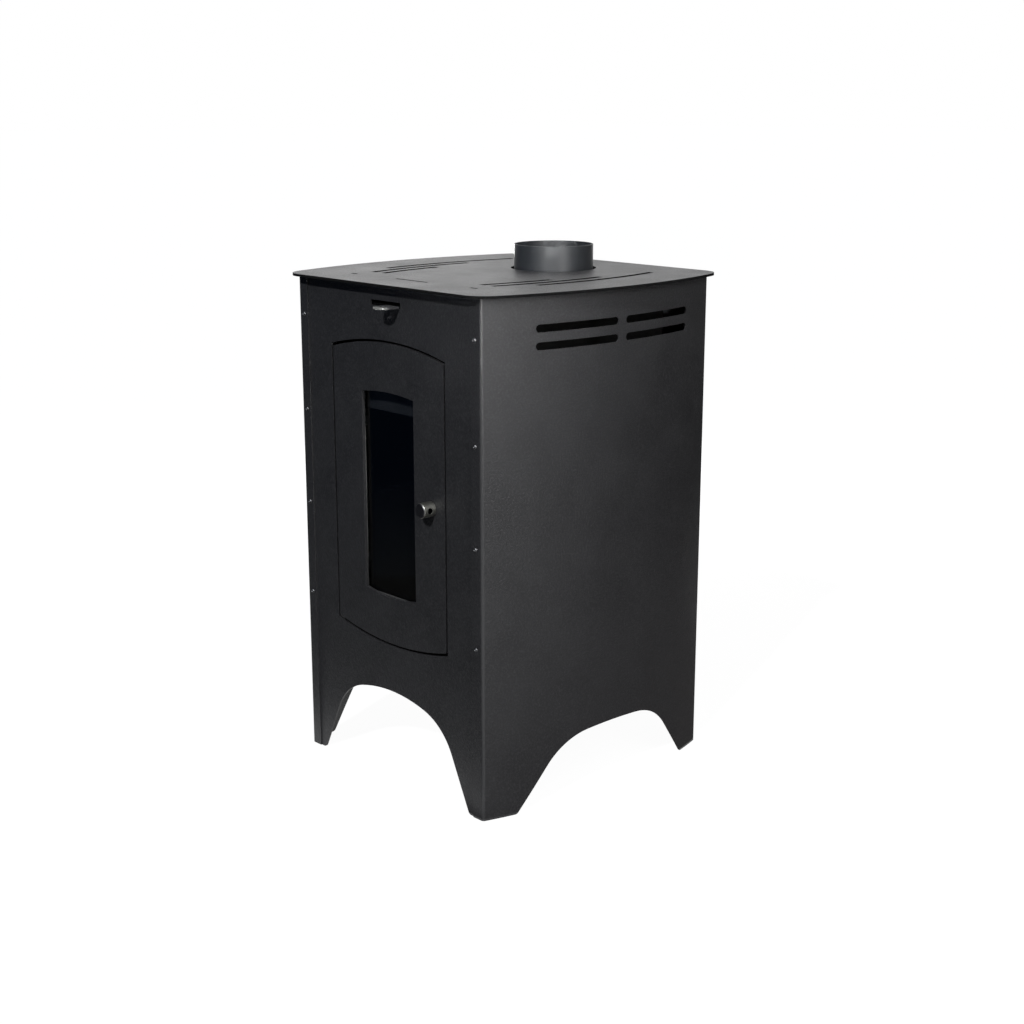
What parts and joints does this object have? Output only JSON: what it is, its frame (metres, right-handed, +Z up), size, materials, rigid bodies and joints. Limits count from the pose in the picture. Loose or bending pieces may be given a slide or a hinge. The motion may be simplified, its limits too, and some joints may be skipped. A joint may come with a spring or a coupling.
{
  "type": "wood-burning heater",
  "caption": "Free-standing wood-burning heater: bowed steel casing on arched feet round a brick-lined firebox, with a hinged glazed door, cam latch, air slider and top flue collar.",
  "frame": {"origin": "on the floor under the middle of the heater's overall box", "axes": "+Z up, +X to the right of someone facing the door, the door faces -Y"},
  "size_m": [0.535, 0.5214, 0.821],
  "materials": {
    "heat_paint": "fine-textured matt high-temperature paint, charcoal",
    "collar_steel": "satin high-temperature paint on a rolled and welded tube",
    "plate_steel": "matt heat-darkened plate",
    "bright_steel": "turned bare steel",
    "slider_steel": "satin dark sheet",
    "door_glass": "clear heat-proof glass-ceramic",
    "rope_fibre": "woven glass fibre",
    "fire_brick": "rough pressed brick"
  },
  "bodies": {
    "base": {"front_panel": "heat_paint", "rear_panel": "heat_paint", "right_side_panel": "heat_paint", "left_side_panel": "heat_paint", "top_plate": "heat_paint", "flue_collar": "collar_steel", "firebox_roof": "plate_steel", "firebox_front_plate": "plate_steel", "firebox_rear_wall": "plate_steel", "firebox_floor": "plate_steel", "mouth_frame": "plate_steel", "air_wash_lip": "plate_steel", "baffle": "plate_steel", "base_shield": "plate_steel", "firebox_feet": "plate_steel", "latch_keeper": "plate_steel", "air_box": "plate_steel", "air_duct": "plate_steel", "rear_slider_guide": "plate_steel", "front_slider_guides": "plate_steel", "right_firebox_wall": "plate_steel", "left_firebox_wall": "plate_steel", "right_baffle_ledge": "plate_steel", "left_baffle_ledge": "plate_steel", "right_support_rail": "plate_steel", "left_support_rail": "plate_steel", "lower_hinge_bracket": "plate_steel", "upper_hinge_bracket": "plate_steel", "top_plate_clips": "plate_steel", "front_flange_screws": "bright_steel", "rear_flange_screws": "bright_steel", "lower_hinge_pin": "bright_steel", "upper_hinge_pin": "bright_steel", "floor_bricks": "fire_brick", "rear_bricks": "fire_brick", "right_bricks": "fire_brick", "left_bricks": "fire_brick"},
    "door": {"door_plate": "heat_paint", "rope_channel": "plate_steel", "door_rope": "rope_fibre", "glass_tape": "rope_fibre", "door_glass": "door_glass", "glass_clamp_bosses": "plate_steel", "glass_clamps": "plate_steel", "glass_clamp_screws": "bright_steel", "latch_bush": "plate_steel", "lower_hinge_lug": "plate_steel", "upper_hinge_lug": "plate_steel"},
    "latch": {"latch_spindle": "bright_steel", "latch_cam": "bright_steel", "latch_washer": "bright_steel", "latch_nut": "bright_steel"},
    "air_slider": {"air_slider": "slider_steel"}
  },
  "joints": [
    {"name": "door_hinge", "type": "hinge", "parent": "base", "child": "door", "pos_m": [-0.11, -0.21975, 0.4595], "axis": [0, 0, -1], "range_deg": [0, 95]},
    {"name": "latch_turn", "type": "hinge", "parent": "door", "child": "latch", "pos_m": [0.1005, -0.22875, 0.45975], "axis": [0, 1, 0], "range_deg": [0, 90]},
    {"name": "air_slide", "type": "slide", "parent": "base", "child": "air_slider", "axis": [1, 0, 0], "range_m": [-0.038, 0]}
  ]
}
